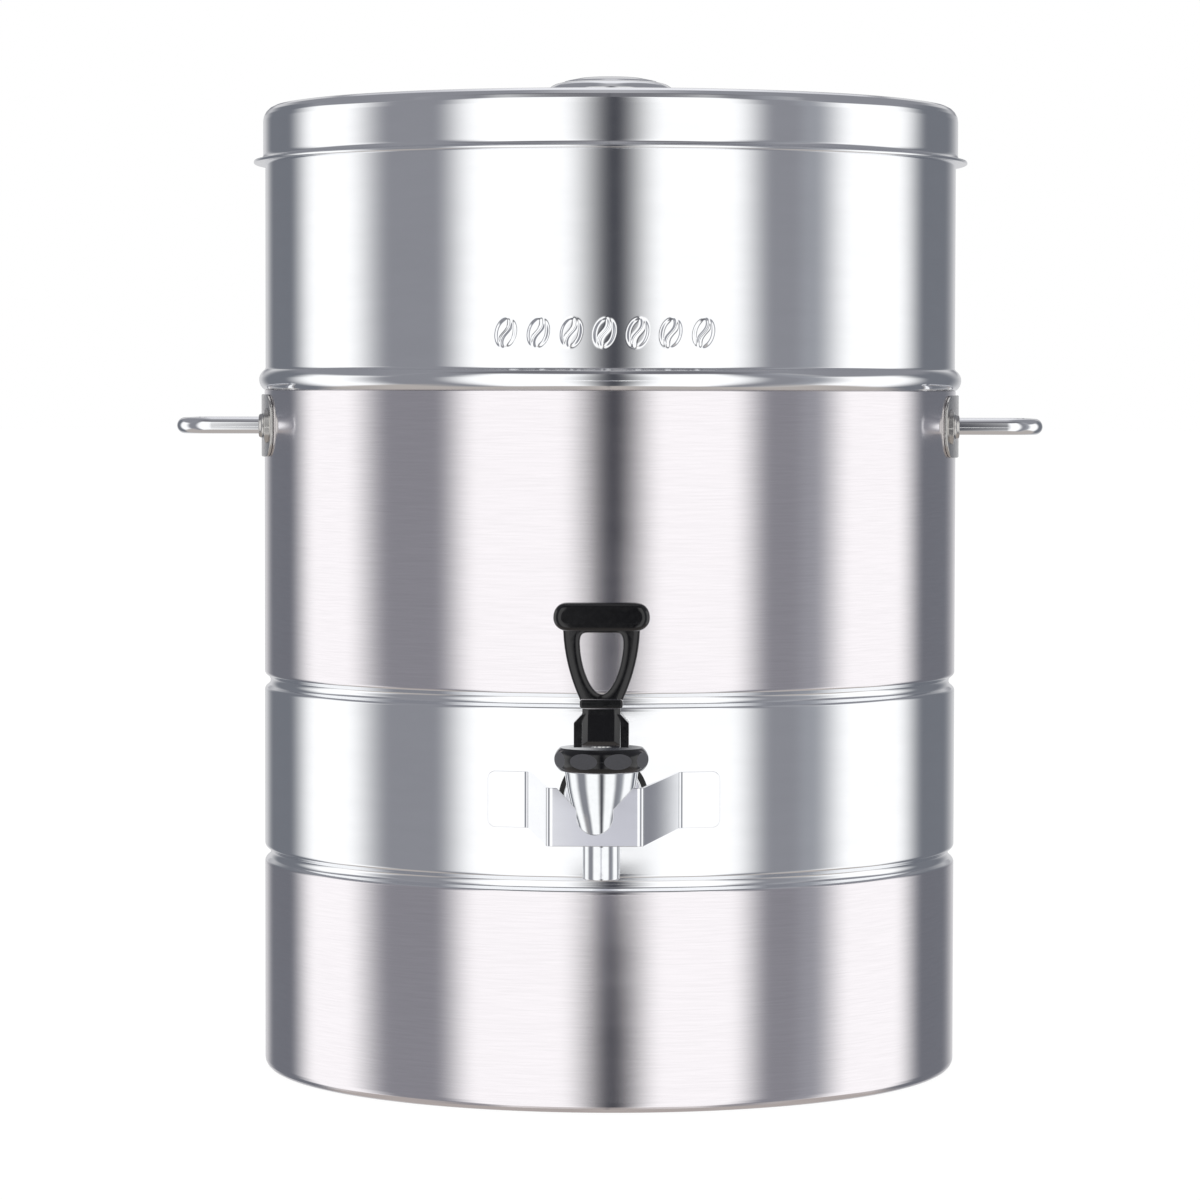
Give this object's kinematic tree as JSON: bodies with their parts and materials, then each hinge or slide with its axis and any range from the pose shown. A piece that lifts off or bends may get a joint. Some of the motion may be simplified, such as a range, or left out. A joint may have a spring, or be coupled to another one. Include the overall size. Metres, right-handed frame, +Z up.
{
  "type": "coffee urn",
  "caption": "Two-tier stainless steel coffee urn with a cap lid, side carrying handles, and a lever tap inside a bent guard strip",
  "frame": {"origin": "on the vessels' axis, in the plane that the foot stands on", "axes": "+Z up along the vessels' axis; -Y towards the user, the side the tap is on; +X to the right of someone who faces the tap, where one of the two carrying handles is"},
  "size_m": [0.3524, 0.3563, 0.4008],
  "materials": {
    "vessel_steel": "brushed stainless sheet, partly polished",
    "polished_steel": "mirror-polished stainless",
    "plated_casting": "bright plated",
    "spring_steel": "bright drawn wire and bar",
    "black_plastic": "gloss black moulding",
    "rubber": "matt black",
    "seat_rubber": "matt pale"
  },
  "bodies": {
    "urn": {"lower_shell": "vessel_steel", "tank_floor": "vessel_steel", "handle_plate_right": "polished_steel", "handle_plate_left": "polished_steel", "handle_loop_right": "polished_steel", "handle_loop_left": "polished_steel", "tap_guard": "polished_steel", "tap_body": "plated_casting", "tap_outer_gasket": "rubber", "tap_inner_gasket": "rubber", "tap_shank_washer": "spring_steel", "tap_shank_nut": "plated_casting", "tap_bonnet": "black_plastic", "tap_spring": "spring_steel"},
    "stem": {"tap_stem": "spring_steel", "tap_seat_cup": "seat_rubber"},
    "lever": {"tap_lever": "black_plastic", "tap_lever_pin": "spring_steel"},
    "brewer": {"upper_vessel": "polished_steel", "filter_plate": "vessel_steel"},
    "press": {"press_disc": "vessel_steel", "press_rod": "spring_steel", "press_knob": "black_plastic"},
    "cover": {"lid": "polished_steel", "lid_knob": "polished_steel", "lid_knob_screw": "spring_steel"}
  },
  "joints": [
    {"name": "stem_lift", "type": "slide", "parent": "urn", "child": "stem", "axis": [0, 0, 1], "range_m": [0, 0.004], "deforming": ["tap_spring"]},
    {"name": "lever_tilt", "type": "hinge", "parent": "stem", "child": "lever", "pos_m": [0, -0.188, 0.1494], "axis": [1, 0, 0], "range_deg": [0, 40], "stiffness_Nm_per_rad": 0.0657, "springref_deg": -50.02},
    {"name": "upper_vessel_lift", "type": "slide", "parent": "urn", "child": "brewer", "axis": [0, 0, 1], "range_m": [0, 0.08]},
    {"name": "press_lift", "type": "slide", "parent": "brewer", "child": "press", "axis": [0, 0, 1], "range_m": [0, 0.055]},
    {"name": "lid_lift", "type": "slide", "parent": "brewer", "child": "cover", "axis": [0, 0, 1], "range_m": [0, 0.04]}
  ],
  "couplings": [
    {"joint": "stem_lift", "follows": "lever_tilt", "m_per_rad": 0.0057296}
  ]
}
